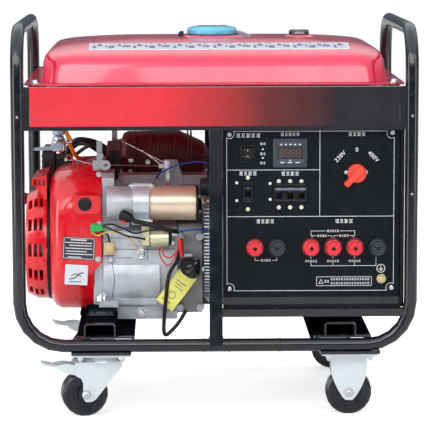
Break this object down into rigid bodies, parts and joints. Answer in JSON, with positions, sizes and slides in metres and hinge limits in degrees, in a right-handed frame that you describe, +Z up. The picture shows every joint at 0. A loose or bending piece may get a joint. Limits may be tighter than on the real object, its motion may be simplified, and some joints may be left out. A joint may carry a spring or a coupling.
{
  "type": "engine driven generating set",
  "caption": "Open-frame petrol generating set on casters: engine and alternator under a fuel tank, front panel with switches, breakers and output posts.",
  "frame": {"origin": "on the floor under the middle of the tube frame", "axes": "+X along the machine towards the alternator, -Y out of the control panel, +Z up"},
  "size_m": [0.7, 0.53, 0.685],
  "materials": {
    "frame_black": "gloss black enamel",
    "red_enamel": "gloss red enamel",
    "panel_black": "satin black with white printing",
    "rubber": "moulded",
    "wheel_black": "moulded nylon and rubber",
    "zinc_plate": "bright zinc plate",
    "cast_aluminium": "sand-textured casting",
    "plated_steel": "bright plate",
    "core_steel": "dull laminated steel",
    "yellow_zinc": "yellow zinc plate",
    "muffler_brown": "heat-resistant dark brown enamel",
    "cap_blue": "gloss blue",
    "black_plastic": "fine texture",
    "grey_plastic": "fine texture",
    "knob_red": "moulded",
    "terminal_red": "moulded",
    "brass": "turned"
  },
  "bodies": {
    "machine": {"air_cleaner": "black_plastic", "alternator_adapter": "cast_aluminium", "alternator_mount_front": "rubber", "alternator_mount_rear": "rubber", "breaker_single": "grey_plastic", "breaker_triple": "grey_plastic", "carburettor": "cast_aluminium", "caster_fork_front_right": "zinc_plate", "caster_fork_rear_right": "zinc_plate", "caster_plate_front_left": "zinc_plate", "caster_plate_rear_left": "zinc_plate", "control_box": "frame_black", "control_panel": "panel_black", "crankcase": "cast_aluminium", "crankcase_cover": "cast_aluminium", "cylinder_head": "cast_aluminium", "digital_meter": "grey_plastic", "end_bell": "cast_aluminium", "engine_mount_front": "rubber", "engine_mount_rear": "rubber", "fan_shroud": "red_enamel", "frame": "frame_black", "front_band": "red_enamel", "fuel_gauge": "black_plastic", "fuel_tank": "red_enamel", "fuel_tap": "plated_steel", "ground_bolt": "brass", "muffler": "muffler_brown", "recoil_cover": "red_enamel", "rocker_bezel": "black_plastic", "starter_motor": "yellow_zinc", "starter_solenoid": "yellow_zinc", "stator": "core_steel", "terminal_board": "black_plastic"},
    "fork_front_left": {"caster_fork_front_left": "zinc_plate"},
    "wheel_front_left": {"caster_wheel_front_left": "wheel_black"},
    "brake_front_left": {"caster_brake_front_left": "zinc_plate"},
    "fork_rear_left": {"caster_fork_rear_left": "zinc_plate"},
    "wheel_rear_left": {"caster_wheel_rear_left": "wheel_black"},
    "brake_rear_left": {"caster_brake_rear_left": "zinc_plate"},
    "wheel_front_right": {"caster_wheel_front_right": "wheel_black"},
    "wheel_rear_right": {"caster_wheel_rear_right": "wheel_black"},
    "engine_rocker": {"engine_rocker": "black_plastic"},
    "single_toggle": {"breaker_single_toggle": "black_plastic"},
    "triple_toggle": {"breaker_triple_toggle": "black_plastic"},
    "voltage_knob": {"voltage_knob": "knob_red"},
    "nut_single_live": {"nut_single_live": "terminal_red"},
    "nut_single_neutral": {"nut_single_neutral": "black_plastic"},
    "nut_phase_u": {"nut_phase_u": "terminal_red"},
    "nut_phase_v": {"nut_phase_v": "terminal_red"},
    "nut_phase_w": {"nut_phase_w": "terminal_red"},
    "nut_phase_n": {"nut_phase_n": "black_plastic"},
    "fuel_cap": {"fuel_cap": "cap_blue"},
    "fuel_tap_lever": {"fuel_tap_lever": "grey_plastic"},
    "recoil_grip": {"recoil_grip": "black_plastic"},
    "rotating_assembly": {"crankshaft_rotor": "plated_steel", "flywheel": "core_steel"},
    "oil_dipstick": {"oil_dipstick": "black_plastic"},
    "throttle_lever": {"throttle_lever": "plated_steel"},
    "governor_arm": {"governor_arm": "plated_steel"}
  },
  "joints": [
    {"name": "swivel_front_left", "type": "hinge", "parent": "machine", "child": "fork_front_left", "pos_m": [-0.198, -0.213, 0.098], "axis": [0, 0, 1], "continuous": true},
    {"name": "wheel_spin_front_left", "type": "hinge", "parent": "fork_front_left", "child": "wheel_front_left", "pos_m": [-0.2293, -0.21965, 0.0398], "axis": [-0.2079, 0.9781, 0], "continuous": true},
    {"name": "brake_pedal_front_left", "type": "hinge", "parent": "fork_front_left", "child": "brake_front_left", "pos_m": [-0.24691, -0.2234, 0.088], "axis": [0.2079, -0.9781, 0], "range_deg": [0, 18]},
    {"name": "swivel_rear_left", "type": "hinge", "parent": "machine", "child": "fork_rear_left", "pos_m": [-0.198, 0.213, 0.098], "axis": [0, 0, 1], "continuous": true},
    {"name": "wheel_spin_rear_left", "type": "hinge", "parent": "fork_rear_left", "child": "wheel_rear_left", "pos_m": [-0.2293, 0.20635, 0.0398], "axis": [-0.2079, 0.9781, 0], "continuous": true},
    {"name": "brake_pedal_rear_left", "type": "hinge", "parent": "fork_rear_left", "child": "brake_rear_left", "pos_m": [-0.24691, 0.2026, 0.088], "axis": [0.2079, -0.9781, 0], "range_deg": [0, 18]},
    {"name": "wheel_spin_front_right", "type": "hinge", "parent": "machine", "child": "wheel_front_right", "pos_m": [0.234, -0.213, 0.0398], "axis": [0, 1, 0], "continuous": true},
    {"name": "wheel_spin_rear_right", "type": "hinge", "parent": "machine", "child": "wheel_rear_right", "pos_m": [0.234, 0.213, 0.0398], "axis": [0, 1, 0], "continuous": true},
    {"name": "engine_rocker_tilt", "type": "hinge", "parent": "machine", "child": "engine_rocker", "pos_m": [0.0567, -0.234, 0.4608], "axis": [1, 0, 0], "range_deg": [-10, 10]},
    {"name": "single_breaker_throw", "type": "hinge", "parent": "machine", "child": "single_toggle", "pos_m": [0.057, -0.2305, 0.3945], "axis": [1, 0, 0], "range_deg": [0, 46]},
    {"name": "triple_breaker_throw", "type": "hinge", "parent": "machine", "child": "triple_toggle", "pos_m": [0.1302, -0.2305, 0.393], "axis": [1, 0, 0], "range_deg": [0, 46]},
    {"name": "voltage_knob_turn", "type": "hinge", "parent": "machine", "child": "voltage_knob", "pos_m": [0.2454, -0.2392, 0.426], "axis": [0, -1, 0], "range_deg": [0, 90]},
    {"name": "nut_turn_single_live", "type": "hinge", "parent": "machine", "child": "nut_single_live", "pos_m": [0.069, -0.2438, 0.297], "axis": [0, -1, 0], "range_deg": [0, 1080]},
    {"name": "nut_turn_single_neutral", "type": "hinge", "parent": "machine", "child": "nut_single_neutral", "pos_m": [0.1073, -0.2438, 0.297], "axis": [0, -1, 0], "range_deg": [0, 1080]},
    {"name": "nut_turn_phase_u", "type": "hinge", "parent": "machine", "child": "nut_phase_u", "pos_m": [0.1666, -0.2438, 0.297], "axis": [0, -1, 0], "range_deg": [0, 1080]},
    {"name": "nut_turn_phase_v", "type": "hinge", "parent": "machine", "child": "nut_phase_v", "pos_m": [0.2047, -0.2438, 0.297], "axis": [0, -1, 0], "range_deg": [0, 1080]},
    {"name": "nut_turn_phase_w", "type": "hinge", "parent": "machine", "child": "nut_phase_w", "pos_m": [0.2424, -0.2438, 0.297], "axis": [0, -1, 0], "range_deg": [0, 1080]},
    {"name": "nut_turn_phase_n", "type": "hinge", "parent": "machine", "child": "nut_phase_n", "pos_m": [0.2816, -0.2438, 0.297], "axis": [0, -1, 0], "range_deg": [0, 1080]},
    {"name": "fuel_cap_turn", "type": "hinge", "parent": "machine", "child": "fuel_cap", "pos_m": [0, 0, 0.655], "axis": [0, 0, 1], "range_deg": [0, 90]},
    {"name": "fuel_tap_turn", "type": "hinge", "parent": "machine", "child": "fuel_tap_lever", "pos_m": [-0.277, -0.0778, 0.462], "axis": [0, -1, 0], "range_deg": [0, 90]},
    {"name": "recoil_pull", "type": "slide", "parent": "machine", "child": "recoil_grip", "axis": [-1, 0, 0], "range_m": [0, 0.5]},
    {"name": "crankshaft_spin", "type": "hinge", "parent": "machine", "child": "rotating_assembly", "pos_m": [0, 0, 0.278], "axis": [1, 0, 0], "continuous": true},
    {"name": "dipstick_pull", "type": "slide", "parent": "machine", "child": "oil_dipstick", "axis": [-0.1207, -0.9909, 0.0604], "range_m": [0, 0.09]},
    {"name": "throttle_turn", "type": "hinge", "parent": "machine", "child": "throttle_lever", "pos_m": [-0.202, -0.098, 0.444], "axis": [0, 1, 0], "range_deg": [-12, 12]},
    {"name": "governor_turn", "type": "hinge", "parent": "machine", "child": "governor_arm", "pos_m": [-0.0815, -0.05, 0.372], "axis": [0, 1, 0], "range_deg": [-12, 12]}
  ],
  "couplings": [
    {"joint": "governor_turn", "follows": "throttle_turn", "ratio": 1}
  ]
}
